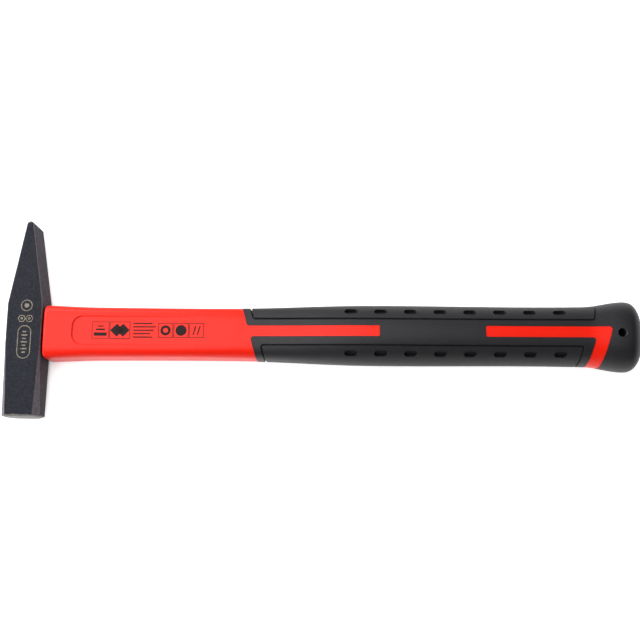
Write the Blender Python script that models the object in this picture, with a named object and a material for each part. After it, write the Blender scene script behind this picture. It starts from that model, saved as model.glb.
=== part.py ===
"""Small cross-peen engineer's hammer with a fibreglass core and a moulded grip.

The hammer lies on its side. Its handle runs along +X, the striking face looks along -Y, the peen
points along +Y, and Z is the hammer's thickness. The origin is the centre of the striking face.
All lengths are in metres.
"""

import math

import bmesh
import bpy
from mathutils import Vector

# Head, forged in one piece
FACE_TO_AXIS = 0.0360  # striking face to the handle's axis
PEEN_TO_AXIS = 0.0481  # peen tip to the handle's axis
SHOULDER_TO_AXIS = 0.0120  # start of the wedge that ends in the peen
HEAD_WIDTH = 0.0151  # along the handle
HEAD_THICKNESS = 0.0142
FACE_FLARE = 0.0016  # how much wider the poll is at the striking face
HEAD_EDGE = 0.0004  # small chamfer on the head's long edges
POLL_CHAMFER_WIDTH = 0.0025  # cut off the poll's upper and lower sides, at the striking face
POLL_CHAMFER_DEPTH = 0.0042  # cut off its cheeks there
POLL_CHAMFER_START = 0.0050  # from the axis towards the face
FACE_BEVEL = 0.0010  # ground bevel around the striking face
PEEN_RADIUS = 0.0016
PEEN_ARC_STEPS = 5

# Core rod and its potting in the eye, an oval that narrows towards the middle of the head
ROD_HEIGHT = 0.0122
ROD_THICKNESS = 0.0050
ROD_RECESS = 0.0005  # rod end below the head's outer cheek
ROD_END_MARGIN = 0.0040  # solid jacket between the rod and the hang hole
RESIN_WALL = 0.0018  # eye wall to rod
RESIN_RECESS = 0.0003
RESIN_LIP = 0.0009  # how far the lip stands out of the eye all round
EYE_WAIST = 0.0003  # taken off all round at the middle of the eye
OVAL_EXPONENT = 2.6  # roundness of the eye and of the rod in it
OVAL_POINTS = 28

# Handle, measured from the head's middle plane along +X
HEAD_GAP = 0.0011  # jacket's end to the head's cheek
NECK_ROUND = 0.0013  # rounded edge of the end that faces the head
NECK_END_HEIGHT = 0.0229
NECK_HEIGHT = 0.0216
NECK_THICKNESS = 0.0176
NECK_EXPONENT = 6.0
GRIP_START = 0.0951  # where the grip's slanted edge crosses the axis
GRIP_LEAD = 0.0016  # the handle starts to thicken this far ahead of the grip
BELLY_LENGTH = 0.0497  # grip start to its thickest part
GRIP_HEIGHT = 0.0254
GRIP_THICKNESS = 0.0220
GRIP_EXPONENT = 2.4
WAIST_HEIGHT = 0.0254
FLARE_LENGTH = 0.0165
BUTT_HEIGHT = 0.0296
BUTT_THICKNESS = 0.0252
BUTT_EXPONENT = 2.3
BUTT_DOME = 0.0070  # length of the domed end
DOME_EXPONENT = 2.5
DOME_STEPS = 6
HANDLE_END = 0.2591

# Windows of the grip, which the jacket's ribs fill
WINDOW_AXIS = 0.0004  # the windows' centre line above the handle's axis
BAR_HEIGHT = 0.0045
STRIPE_LENGTH = 0.0545
STRIPE_CORNER = 0.0006
SLANT = math.radians(15.5)
SLANT_CORNER = 0.0012
HOOK_LENGTH = 0.0512
HOOK_FROM_END = 0.0143  # butt's end to where the hook's slanted outer edge crosses the axis
HOOK_LEG = 0.0052
HOOK_CORNER = 0.0012

# Grip sleeve and the two softer pads let into it
RIB_RECESS = 0.00015  # jacket surface below the sleeve's surface
PAD_THICKNESS = 0.0014
PAD_FLOOR = 0.0006  # sleeve left under a pad
PAD_WEB = 0.00305  # sleeve between a window and a pad
PAD_MARGIN = 0.0037  # slanted start of the sleeve to the pads' parallel start
PAD_UPPER_MARGIN = 0.0027  # slanted end of a pad to the hook's leg, both on the axis
PAD_LOWER_MARGIN = 0.0040
PAD_CORNER = 0.0010
PIT_COUNT = 8
PIT_LEAD = 0.0389  # pads' start to the first pit's middle
PIT_TAIL = 0.0109  # last pit's middle to the lower pad's end
PIT_INSET = 0.0032  # pit row from the pad's inner edge
PIT_LENGTH = 0.0053
PIT_WIDTH = 0.0023
PIT_FLAT = 0.00005  # short straight left between the arcs of a pit's round end

# Hang hole
HOLE_DIAMETER = 0.0034
HOLE_FROM_END = 0.0101
HOLE_POINTS = 24

# Fits and mesh fineness
CLEARANCE = 0.0003
SEAM = 0.0004  # visible seam around each pad
RING_POINTS = 32
STATION_PITCH = 0.0080
ARC_STEPS = 4
REACH = 0.0300  # half length of a cutter, past every wall
LEAD = 0.0150  # how far inner forms start ahead of the sleeve's blank

# Worked out from the values above
LEAN = math.tan(SLANT)
FACE_WIDTH = HEAD_WIDTH + FACE_FLARE
EYE_HEIGHT = ROD_HEIGHT + 2 * RESIN_WALL
EYE_THICKNESS = ROD_THICKNESS + 2 * RESIN_WALL
NECK_START = HEAD_WIDTH / 2 + HEAD_GAP
GRIP_BELLY = GRIP_START + BELLY_LENGTH
STRIPE_END = GRIP_START + STRIPE_LENGTH
HOOK_END = HANDLE_END - HOOK_FROM_END
HOOK_START = HOOK_END - HOOK_LENGTH
HOOK_LEG_START = HOOK_END - HOOK_LEG / math.cos(SLANT)
SLEEVE_WALL = PAD_THICKNESS + PAD_FLOOR + 2 * CLEARANCE
PAD_EDGE = WINDOW_AXIS + BAR_HEIGHT / 2 + PAD_WEB
PAD_START = GRIP_START + PAD_MARGIN
PAD_UPPER_END = HOOK_LEG_START - PAD_UPPER_MARGIN
PAD_LOWER_END = HOOK_LEG_START - PAD_LOWER_MARGIN
PIT_FIRST = PAD_START + PIT_LEAD
PIT_PITCH = (PAD_LOWER_END - PIT_TAIL - PIT_FIRST) / (PIT_COUNT - 1)
PIT_OFFSET = PAD_EDGE + PIT_INSET
HOLE_X = HANDLE_END - HOLE_FROM_END
ROD_END = HOLE_X - HOLE_DIAMETER / 2 - ROD_END_MARGIN
DOME_START = HANDLE_END - BUTT_DOME
FLARE_START = DOME_START - FLARE_LENGTH


def make_material(name, color, roughness, metallic=0.0):
    """A plain Principled material."""
    material = bpy.data.materials.new(name)
    material.use_nodes = True
    shader = material.node_tree.nodes["Principled BSDF"]
    shader.inputs["Base Color"].default_value = (*color, 1.0)
    shader.inputs["Roughness"].default_value = roughness
    shader.inputs["Metallic"].default_value = metallic
    material.diffuse_color = (*color, 1.0)
    return material


def add_object(name, build, collection, material=None):
    """Link an object whose faces all point out. Without a material it is a cutter."""
    bmesh.ops.recalc_face_normals(build, faces=build.faces)
    mesh = bpy.data.meshes.new(name)
    build.to_mesh(mesh)
    build.free()
    piece = bpy.data.objects.new(name, mesh)
    collection.objects.link(piece)
    if material is None:
        piece.hide_render = True
        piece.display_type = "WIRE"
    else:
        mesh.materials.append(material)
        mesh.shade_smooth()
        mesh.set_sharp_from_angle(angle=math.radians(35))
    return piece


def boolean(piece, operand, operation):
    """Add an exact Boolean modifier."""
    modifier = piece.modifiers.new(operation.lower() + "_" + operand.name, "BOOLEAN")
    modifier.object = operand
    modifier.operation = operation
    modifier.solver = "EXACT"


def loft(rings):
    """Skin rings of equal point counts and cap both ends."""
    build = bmesh.new()
    layers = [[build.verts.new(point) for point in ring] for ring in rings]
    for low, high in zip(layers, layers[1:]):
        for index in range(len(low)):
            following = (index + 1) % len(low)
            build.faces.new((low[index], low[following], high[following], high[index]))
    build.faces.new(layers[0][::-1])
    build.faces.new(layers[-1])
    return build


def prism(outlines, bottom=-REACH, top=REACH):
    """Extrude closed outlines in the XY plane along Z, each into its own body."""
    build = bmesh.new()
    for outline in outlines:
        base = [build.verts.new((x, y, bottom)) for x, y in outline]
        face = build.faces.new(base)
        grown = bmesh.ops.extrude_face_region(build, geom=[face])
        risen = [item for item in grown["geom"] if isinstance(item, bmesh.types.BMVert)]
        bmesh.ops.translate(build, verts=risen, vec=(0, 0, top - bottom))
    return build


def rounded(corners):
    """Replace each (x, y, radius) corner by an arc; radius 0 keeps the corner sharp."""
    outline = []
    for index, (x, y, radius) in enumerate(corners):
        corner = Vector((x, y))
        if radius == 0:
            outline.append(corner)
            continue
        before = (Vector(corners[index - 1][:2]) - corner).normalized()
        after = (Vector(corners[(index + 1) % len(corners)][:2]) - corner).normalized()
        half_angle = before.angle(after) / 2
        centre = corner + (before + after).normalized() * radius / math.sin(half_angle)
        tangent = radius / math.tan(half_angle)
        first = (corner + before * tangent - centre).normalized()
        last = (corner + after * tangent - centre).normalized()
        for step in range(ARC_STEPS + 1):
            outline.append(centre + first.slerp(last, step / ARC_STEPS) * radius)
    return [tuple(point) for point in outline]


def superellipse(half_height, half_thickness, exponent, points=RING_POINTS):
    """Points (y, z) of a rounded section; a large exponent makes it nearly rectangular."""
    ring = []
    for index in range(points):
        angle = 2 * math.pi * index / points
        height, depth = math.cos(angle), math.sin(angle)
        y = math.copysign(abs(height) ** (2 / exponent), height) * half_height
        z = math.copysign(abs(depth) ** (2 / exponent), depth) * half_thickness
        ring.append((y, z))
    return ring


def smooth_curve(keys, x):
    """Cubic curve through (x, value) keys, level at both ends."""
    if x <= keys[0][0]:
        return keys[0][1]
    for index in range(len(keys) - 1):
        (x0, v0), (x1, v1) = keys[index], keys[index + 1]
        if x <= x1:
            slope0 = (v1 - keys[index - 1][1]) / (x1 - keys[index - 1][0]) if index else 0
            later = keys[index + 2] if index + 2 < len(keys) else None
            slope1 = (later[1] - v0) / (later[0] - x0) if later else 0
            span = x1 - x0
            t = (x - x0) / span
            blend = t * t * (3 - 2 * t)
            rise = (t - 2 * t * t + t * t * t) * slope0 + (t * t * t - t * t) * slope1
            return v0 + (v1 - v0) * blend + rise * span
    return keys[-1][1]


def handle_section(x):
    """Half height, half thickness and exponent of the handle's outer form at x."""
    neck_middle = (NECK_START + GRIP_START) / 2
    swell_start = GRIP_START - GRIP_LEAD
    height = smooth_curve(
        [
            (NECK_START, NECK_END_HEIGHT),
            ((NECK_START + neck_middle) / 2, NECK_HEIGHT),
            (swell_start, NECK_HEIGHT),
            (GRIP_BELLY, GRIP_HEIGHT),
            (FLARE_START, WAIST_HEIGHT),
            (DOME_START, BUTT_HEIGHT),
        ],
        x,
    )
    thickness = smooth_curve(
        [
            (swell_start, NECK_THICKNESS),
            (GRIP_BELLY, GRIP_THICKNESS),
            (FLARE_START, GRIP_THICKNESS),
            (DOME_START, BUTT_THICKNESS),
        ],
        x,
    )
    exponent = smooth_curve(
        [
            (neck_middle, NECK_EXPONENT),
            (GRIP_BELLY, GRIP_EXPONENT),
            (DOME_START, BUTT_EXPONENT),
        ],
        x,
    )
    return height / 2, thickness / 2, exponent


def spread(start, end):
    """Even stations from start to end, no further apart than the station pitch."""
    count = max(1, math.ceil((end - start) / STATION_PITCH))
    return [start + (end - start) * index / count for index in range(count + 1)]


def handle_form(start, inset, rounding=0.0):
    """Rings of the handle's outer form, inset all round, from start to the domed end."""
    stations = []
    for step in range(ARC_STEPS if rounding else 0):
        angle = math.pi / 2 * step / ARC_STEPS
        stations.append((start + rounding * (1 - math.cos(angle)), rounding * (1 - math.sin(angle)), 1))
    body = spread(start + rounding, FLARE_START)
    flare = spread(FLARE_START, DOME_START)
    stations += [(x, 0, 1) for x in body + flare[1:]]
    reach = HANDLE_END - inset - DOME_START
    for step in range(1, DOME_STEPS + 1):
        along = math.sin(math.pi / 2 * step / (DOME_STEPS + 1)) ** (2 / DOME_EXPONENT)
        across = math.cos(math.pi / 2 * step / (DOME_STEPS + 1)) ** (2 / DOME_EXPONENT)
        stations.append((DOME_START + reach * along, 0, across))
    rings = []
    for x, more, scale in stations:
        half_height, half_thickness, exponent = handle_section(x)
        off = inset + more
        section = superellipse(
            (half_height - off) * scale, (half_thickness - off) * scale, exponent
        )
        rings.append([(x, FACE_TO_AXIS + y, z) for y, z in section])
    return rings


def slanted(x_at_axis, y, direction):
    """Point (x, y) on a line that crosses the axis at x_at_axis and leans by the slant."""
    return x_at_axis + direction * LEAN * y, FACE_TO_AXIS + y


def exposure_outlines(grow):
    """Outlines where the jacket shows: the neck with its stripe, and the hook near the butt."""
    low = WINDOW_AXIS - BAR_HEIGHT / 2 - grow
    high = WINDOW_AXIS + BAR_HEIGHT / 2 + grow
    side = grow / math.cos(SLANT)
    start = GRIP_START + side
    neck = [
        (-REACH, FACE_TO_AXIS - REACH, 0),
        (*slanted(start, -REACH, -1), 0),
        (*slanted(start, low, -1), SLANT_CORNER),
        (STRIPE_END + grow, FACE_TO_AXIS + low, STRIPE_CORNER),
        (STRIPE_END + grow, FACE_TO_AXIS + high, STRIPE_CORNER),
        (*slanted(start, high, -1), SLANT_CORNER),
        (*slanted(start, REACH, -1), 0),
        (-REACH, FACE_TO_AXIS + REACH, 0),
    ]
    hook = [
        (HOOK_START - grow, FACE_TO_AXIS + low, STRIPE_CORNER),
        (*slanted(HOOK_LEG_START - side, low, 1), HOOK_CORNER),
        (*slanted(HOOK_LEG_START - side, -REACH, 1), 0),
        (*slanted(HOOK_END + side, -REACH, 1), 0),
        (*slanted(HOOK_END + side, high, 1), HOOK_CORNER),
        (HOOK_START - grow, FACE_TO_AXIS + high, STRIPE_CORNER),
    ]
    return [rounded(neck), rounded(hook)]


def pad_outline(side, grow):
    """Outline of the upper (side 1) or lower (side -1) pad, open past the handle's edge."""
    end = (PAD_UPPER_END if side > 0 else PAD_LOWER_END) + grow / math.cos(SLANT)
    start = PAD_START - grow / math.cos(SLANT)
    edge = side * (PAD_EDGE - grow)
    far = side * REACH
    return rounded(
        [
            (*slanted(start, edge, -1), PAD_CORNER),
            (*slanted(end, edge, 1), PAD_CORNER),
            (*slanted(end, far, 1), 0),
            (*slanted(start, far, -1), 0),
        ]
    )


def pit_outline(index, side):
    """Outline of one slot-shaped pit of a pad."""
    x = PIT_FIRST + index * PIT_PITCH
    y = FACE_TO_AXIS + side * PIT_OFFSET
    half_length, half_width = PIT_LENGTH / 2, PIT_WIDTH / 2
    round_end = half_width - PIT_FLAT / 2
    return rounded(
        [
            (x - half_length, y - half_width, round_end),
            (x + half_length, y - half_width, round_end),
            (x + half_length, y + half_width, round_end),
            (x - half_length, y + half_width, round_end),
        ]
    )


def oval_rings(stations, height, thickness):
    """Oval rings across the handle's axis at (x, inset) stations."""
    rings = []
    for x, inset in stations:
        section = superellipse(
            height / 2 - inset, thickness / 2 - inset, OVAL_EXPONENT, OVAL_POINTS
        )
        rings.append([(x, FACE_TO_AXIS + y, z) for y, z in section])
    return rings


def head_section(y, half_width, half_thickness, cut_x, cut_z):
    """Rectangle with cut corners across the head's length at y."""
    inner_x, inner_z = half_width - cut_x, half_thickness - cut_z
    corners = [
        (half_width, inner_z),
        (inner_x, half_thickness),
        (-inner_x, half_thickness),
        (-half_width, inner_z),
        (-half_width, -inner_z),
        (-inner_x, -half_thickness),
        (inner_x, -half_thickness),
        (half_width, -inner_z),
    ]
    return [(x, y, z) for x, z in corners]


def head_rings():
    """Sections of the forged head from the striking face to the peen."""
    half_thickness = HEAD_THICKNESS / 2
    half_width = HEAD_WIDTH / 2
    half_face = FACE_WIDTH / 2
    bevel = FACE_BEVEL
    face_cut = (POLL_CHAMFER_WIDTH, POLL_CHAMFER_DEPTH)
    arc_centre = PEEN_TO_AXIS - PEEN_RADIUS
    stations = [
        (0, half_face - bevel, half_thickness - bevel, *face_cut),
        (bevel, half_face, half_thickness, *face_cut),
        (FACE_TO_AXIS - POLL_CHAMFER_START, half_width, half_thickness, HEAD_EDGE, HEAD_EDGE),
        (FACE_TO_AXIS + SHOULDER_TO_AXIS, half_width, half_thickness, HEAD_EDGE, HEAD_EDGE),
    ]
    for step in range(PEEN_ARC_STEPS):
        angle = math.pi / 2 * step / PEEN_ARC_STEPS
        across, along = math.cos(angle), math.sin(angle)
        edge = min(HEAD_EDGE, PEEN_RADIUS * across / 2)
        y = FACE_TO_AXIS + arc_centre + PEEN_RADIUS * along
        stations.append((y, PEEN_RADIUS * across, half_thickness, edge, edge))
    return [head_section(*station) for station in stations]


def eye_rings(inset, start, end):
    """Rings of the eye's oval wall, inset all round and narrowest at the head's middle."""
    cheek = HEAD_WIDTH / 2
    marks = [start, 0, end] + [x for x in (-cheek, cheek) if start < x < end]
    stations = []
    for x in sorted(marks):
        waist = EYE_WAIST * max(0, 1 - abs(x) / cheek)
        stations.append((x, inset + waist))
    return oval_rings(stations, EYE_HEIGHT, EYE_THICKNESS)


def rod_rings(start, end, grow=0.0):
    """Rings of the straight oval rod, or of the passage around it."""
    return oval_rings([(start, -grow), (end, -grow)], ROD_HEIGHT, ROD_THICKNESS)


def hang_hole(collection):
    """Cutter for the hole through the butt."""
    build = bmesh.new()
    bmesh.ops.create_cone(
        build,
        cap_ends=True,
        segments=HOLE_POINTS,
        radius1=HOLE_DIAMETER / 2,
        radius2=HOLE_DIAMETER / 2,
        depth=2 * REACH,
    )
    cutter = add_object("cut_hang_hole", build, collection)
    cutter.location = (HOLE_X, FACE_TO_AXIS, 0)
    return cutter


def make_head(parts, cutters):
    steel = make_material("lacquered_forged_steel", (0.045, 0.05, 0.065), 0.5, 0.5)
    head = add_object("hammer_head", loft(head_rings()), parts, steel)
    past = HEAD_WIDTH
    eye = add_object("cut_eye", loft(eye_rings(0, -past, past)), cutters)
    boolean(head, eye, "DIFFERENCE")


def make_core(parts, cutters):
    """The rod that joins head and handle, and the resin that pots it in the eye."""
    glass = make_material("glass_fibre_rod", (0.75, 0.70, 0.52), 0.5)
    start = ROD_RECESS - HEAD_WIDTH / 2
    add_object("core_rod", loft(rod_rings(start, ROD_END)), parts, glass)

    epoxy = make_material("potting_resin", (0.03, 0.03, 0.032), 0.35)
    outer_end = RESIN_RECESS - HEAD_WIDTH / 2
    cheek = HEAD_WIDTH / 2
    resin = add_object(
        "eye_resin", loft(eye_rings(CLEARANCE, outer_end, cheek + CLEARANCE * 2)), parts, epoxy
    )
    lip_stations = [(cheek + CLEARANCE, -RESIN_LIP), (NECK_START - CLEARANCE, -RESIN_LIP)]
    lip = loft(oval_rings(lip_stations, EYE_HEIGHT, EYE_THICKNESS))
    lip = add_object("join_resin_lip", lip, cutters)
    boolean(resin, lip, "UNION")
    passage = add_object(
        "cut_rod_in_resin", loft(rod_rings(-HEAD_WIDTH, 2 * HEAD_WIDTH, CLEARANCE)), cutters
    )
    boolean(resin, passage, "DIFFERENCE")


def make_jacket(parts, cutters, hole):
    """Red jacket: bare at the neck, with ribs that fill the grip's windows."""
    red = make_material("red_jacket_plastic", (0.85, 0.04, 0.02), 0.4)
    form = loft(handle_form(NECK_START, RIB_RECESS, NECK_ROUND))
    jacket = add_object("handle_jacket", form, parts, red)
    shown = add_object("keep_shown_jacket", prism(exposure_outlines(0)), cutters)
    boolean(jacket, shown, "INTERSECT")
    core_start = (NECK_START + GRIP_START) / 2
    core = add_object("join_jacket_core", loft(handle_form(core_start, SLEEVE_WALL)), cutters)
    boolean(jacket, core, "UNION")
    passage = add_object(
        "cut_rod_in_jacket", loft(rod_rings(0, ROD_END + CLEARANCE, CLEARANCE)), cutters
    )
    boolean(jacket, passage, "DIFFERENCE")
    boolean(jacket, hole, "DIFFERENCE")


def make_grip(parts, cutters, hole):
    """Black sleeve over the jacket, with pockets for the two pads."""
    black = make_material("black_grip_rubber", (0.035, 0.035, 0.038), 0.7)
    start = GRIP_START - REACH
    sleeve = add_object("grip_sleeve", loft(handle_form(start, 0)), parts, black)
    core_start = start - LEAD
    core = loft(handle_form(core_start, SLEEVE_WALL - CLEARANCE))
    core = add_object("cut_jacket_core", core, cutters)
    boolean(sleeve, core, "DIFFERENCE")
    windows = add_object("cut_windows", prism(exposure_outlines(CLEARANCE)), cutters)
    boolean(sleeve, windows, "DIFFERENCE")
    boolean(sleeve, hole, "DIFFERENCE")

    pad_black = make_material("black_pad_rubber", (0.03, 0.03, 0.034), 0.8)
    floor = loft(handle_form(core_start, PAD_THICKNESS + CLEARANCE))
    floor = add_object("cut_pocket_floor", floor, cutters)
    underside = add_object(
        "cut_pad_underside", loft(handle_form(core_start, PAD_THICKNESS)), cutters
    )
    for label, side in (("upper", 1), ("lower", -1)):
        pocket = prism([pad_outline(side, SEAM)])
        pocket = add_object("cut_pocket_" + label, pocket, cutters)
        boolean(pocket, floor, "DIFFERENCE")
        boolean(sleeve, pocket, "DIFFERENCE")

        pad = loft(handle_form(start, 0))
        pad = add_object("grip_pad_" + label, pad, parts, pad_black)
        band = add_object("keep_pad_" + label, prism([pad_outline(side, 0)]), cutters)
        boolean(pad, band, "INTERSECT")
        boolean(pad, underside, "DIFFERENCE")
        pits = prism([pit_outline(index, side) for index in range(PIT_COUNT)])
        boolean(pad, add_object("cut_pits_" + label, pits, cutters), "DIFFERENCE")


def main():
    for leftover in list(bpy.data.objects):
        bpy.data.objects.remove(leftover, do_unlink=True)
    parts = bpy.data.collections.new("cross_peen_hammer")
    cutters = bpy.data.collections.new("cutters")
    for collection in (parts, cutters):
        bpy.context.scene.collection.children.link(collection)

    make_head(parts, cutters)
    make_core(parts, cutters)
    hole = hang_hole(cutters)
    make_jacket(parts, cutters, hole)
    make_grip(parts, cutters, hole)


main()
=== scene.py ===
"""Small cross-peen hammer: its fine shapes and finishes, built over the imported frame.

All lengths are in metres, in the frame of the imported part: the handle runs along +X, the
striking face looks along -Y, the peen points along +Y and the hammer's thickness is Z.
"""

import math

import bmesh
import bpy
from bpy.props import FloatProperty, FloatVectorProperty, IntProperty, PointerProperty
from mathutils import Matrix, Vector, noise


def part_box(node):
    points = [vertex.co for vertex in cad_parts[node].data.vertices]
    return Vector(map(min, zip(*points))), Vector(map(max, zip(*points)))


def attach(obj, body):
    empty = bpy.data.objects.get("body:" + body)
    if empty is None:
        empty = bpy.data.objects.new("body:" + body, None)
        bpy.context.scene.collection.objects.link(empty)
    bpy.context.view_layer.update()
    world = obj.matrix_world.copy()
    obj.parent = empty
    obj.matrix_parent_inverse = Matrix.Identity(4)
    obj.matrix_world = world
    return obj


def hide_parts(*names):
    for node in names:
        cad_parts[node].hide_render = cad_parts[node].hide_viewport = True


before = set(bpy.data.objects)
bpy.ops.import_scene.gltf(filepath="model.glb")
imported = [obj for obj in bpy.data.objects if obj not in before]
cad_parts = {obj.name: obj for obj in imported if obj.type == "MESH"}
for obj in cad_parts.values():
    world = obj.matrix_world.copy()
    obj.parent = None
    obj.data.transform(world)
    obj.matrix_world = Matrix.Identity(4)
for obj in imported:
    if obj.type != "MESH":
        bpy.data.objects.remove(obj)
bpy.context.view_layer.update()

bl_info = {
    "name": "Cross-peen hammer",
    "version": (1, 0, 0),
    "blender": (4, 5, 0),
    "location": "3D View > Sidebar > Hammer",
    "description": "Builds the visible pieces and the stage of a small cross-peen hammer",
    "category": "Object",
}

MM = 0.001

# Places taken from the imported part
HEAD_LOW, HEAD_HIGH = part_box("hammer_head")
ROD_LOW, ROD_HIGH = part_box("core_rod")
RESIN_LOW, RESIN_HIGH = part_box("eye_resin")
JACKET_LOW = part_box("handle_jacket")[0]
SLEEVE_LOW, SLEEVE_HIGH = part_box("grip_sleeve")
AXIS_Y = (ROD_LOW.y + ROD_HIGH.y) / 2
HANDLE_END = SLEEVE_HIGH.x

# Mesh fineness
RING_POINTS = 96
OVAL_POINTS = 64
STATION_PITCH = 2.0 * MM
HEAD_PITCH = 1.2 * MM
ARC_STEPS = 8
REACH = 30.0 * MM  # half length of a cutter, past every wall
SMOOTH_ANGLE = math.radians(32)
SLIVER = 0.003 * MM  # shorter edges are merged away

# Finish
NODE_PITCH = 200
RAGGED_EDGE = 0.35 * MM  # how far the lacquer's edge wanders

# Stage
FLOOR_REACH = 3.0
FLOOR_CLEARANCE = 0.15 * MM  # the fine shapes may stand a hair below the solids
# Glow of the floor, and the reach of its painted contact shadow
FLOOR_GLOW = 0.88
CONTACT_REACH = 0.03
WALL_LIGHT, CEILING_LIGHT = 0.56, 0.06
SCREEN_SHARE = 0.08
SENSOR_WIDTH = 36.0
FOCAL_LENGTH = 54.52
CAMERA_PLACE = (0.13377, -0.03356, 0.40579)
CAMERA_TURN = (0.1859, 0.0226, 0.0099)
MIDDLE = (0.08, AXIS_Y, 0.0)
SOFTBOXES = (  # name, place, target, size and watts
    ("overhead_softbox", (-0.13, 0.14, 0.85), (-0.13, 0.14, 0.0), 0.6, 4.5),
    ("key_softbox", (-0.55, 0.30, 0.36), MIDDLE, 0.45, 4.6),
    ("far_softbox", (-0.30, 0.75, 0.60), MIDDLE, 0.5, 4.2),
    ("near_softbox", (-0.55, -0.40, 0.20), MIDDLE, 0.45, 1.6),
    ("side_softbox", (0.75, 0.05, 0.08), MIDDLE, 0.3, 0.5),
)


# Settings -----------------------------------------------------------------------------


def length(name, description, default):
    return FloatProperty(
        name=name,
        description=description,
        default=default,
        min=0.0,
        precision=5,
        subtype="DISTANCE",
        unit="LENGTH",
    )


def factor(name, description, default):
    return FloatProperty(name=name, description=description, default=default, min=0.0)


def colour(name, description, default):
    return FloatVectorProperty(
        name=name,
        description=description,
        default=default,
        size=3,
        min=0.0,
        max=1.0,
        subtype="COLOR",
    )


class HammerHeadSettings(bpy.types.PropertyGroup):
    """Shape of the forged head."""

    shoulder: length("Shoulder", "Handle's axis to the start of the wedge", 0.0120)
    poll_flare: length("Poll flare", "How much wider the poll is at its face", 0.0016)
    long_edge: length("Long edge", "Chamfer on the long edges", 0.0004)
    chamfer_width: length("Chamfer width", "Cut off the poll's flat sides at its face", 0.0025)
    chamfer_depth: length("Chamfer depth", "Cut off the poll's cheeks at its face", 0.0042)
    chamfer_start: length("Chamfer start", "Handle's axis to where the cuts start", 0.0050)
    face_bevel: length("Face bevel", "Ground bevel round the striking face", 0.0010)
    face_crown: length("Face crown", "How far the striking face is domed", 0.0003)
    peen_radius: length("Peen radius", "Rounding of the peen's tip", 0.0016)
    edge_softness: length("Edge softness", "Rounding of every forged edge", 0.0004)
    unevenness: length("Unevenness", "Depth of the forging's soft hollows", 0.00006)
    eye_wall: length("Eye wall", "Resin between the eye and the rod", 0.0018)
    eye_waist: length("Eye waist", "Narrowing of the eye at its middle", 0.0003)
    eye_chamfer: length("Eye chamfer", "Broken edge where the eye meets a cheek", 0.0005)


class HammerHandleSettings(bpy.types.PropertyGroup):
    """Outer form of the handle, from the head to the butt."""

    neck_end_height: length("Neck end height", "Height beside the head", 0.0229)
    neck_height: length("Neck height", "Height of the bare neck", 0.0216)
    neck_thickness: length("Neck thickness", "Thickness of the bare neck", 0.0176)
    neck_squareness: factor("Neck squareness", "2 is an oval, more is squarer", 6.0)
    neck_round: length("Neck rounding", "Rounded edge of the end at the head", 0.0013)
    grip_start: length("Grip start", "Head's middle to the grip on the axis", 0.0951)
    grip_lead: length("Grip lead", "Swelling ahead of the grip", 0.0016)
    belly_length: length("Belly", "Grip's start to its thickest part", 0.0497)
    grip_height: length("Grip height", "Height at the belly", 0.0254)
    grip_thickness: length("Grip thickness", "Thickness along the grip", 0.0220)
    grip_squareness: factor("Grip squareness", "2 is an oval, more is squarer", 2.4)
    waist_height: length("Waist height", "Height ahead of the flared butt", 0.0254)
    flare_length: length("Flare length", "Length of the butt's flare", 0.0165)
    butt_squareness: factor("Butt squareness", "2 is an oval, more is squarer", 2.3)
    butt_dome: length("Butt dome", "Length of the domed end", 0.0070)
    panel_start: length("Panel start", "Head's middle to the sunk panel", 0.0212)
    panel_end: length("Panel end", "Where the sunk panel runs out", 0.0840)
    panel_height: length("Panel height", "Height of the sunk panel", 0.0116)
    panel_depth: length("Panel depth", "Depth at the panel's deep end", 0.0006)


class HammerGripSettings(bpy.types.PropertyGroup):
    """Windows, pads and pits of the moulded grip."""

    window_rise: length("Window rise", "Windows' middle above the axis", 0.0004)
    bar_height: length("Bar height", "Height of the red bars", 0.0045)
    stripe_length: length("Stripe length", "Front bar, from the grip's start", 0.0545)
    hook_length: length("Hook length", "Rear bar with its leg", 0.0512)
    hook_leg: length("Hook leg", "Width of the rear bar's leg", 0.0052)
    hook_inset: length("Hook inset", "Butt's end to the leg on the axis", 0.0143)
    slant: FloatProperty(
        name="Slant",
        description="Lean of the grip's start, the leg and the pad ends",
        default=math.radians(15.5),
        subtype="ANGLE",
        unit="ROTATION",
    )
    sleeve_wall: length("Sleeve wall", "Thickness of the sleeve", 0.0026)
    rib_recess: length("Rib recess", "Red bars below the rubber", 0.00008)
    pad_thickness: length("Pad thickness", "Thickness of each pad", 0.0014)
    pad_web: length("Pad web", "Sleeve between a bar and a pad", 0.00305)
    pad_lead: length("Pad lead", "Grip's start to the pads' start", 0.0037)
    upper_tail: length("Upper tail", "Upper pad's end to the hook's leg", 0.0027)
    lower_tail: length("Lower tail", "Lower pad's end to the hook's leg", 0.0040)
    seam_gap: length("Seam gap", "Open seam round each pad", 0.0003)
    seam_width: length("Seam width", "Rounded groove over each seam", 0.0009)
    pit_count: IntProperty(name="Pits", description="Pits in each row", default=8, min=1)
    pit_lead: length("Pit lead", "Pads' start to the first pit", 0.0389)
    pit_tail: length("Pit tail", "Last pit to the lower pad's end", 0.0109)
    pit_inset: length("Pit inset", "Pad's inner edge to the pits", 0.0032)
    pit_length: length("Pit length", "Length of a pit", 0.0053)
    pit_width: length("Pit width", "Width of a pit across the surface", 0.0027)
    hole_width: length("Hole width", "Diameter of the hang hole", 0.0034)
    hole_lining: length("Hole lining", "Rubber round the hang hole", 0.0006)
    hole_inset: length("Hole inset", "Butt's end to the hang hole", 0.0101)


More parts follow.
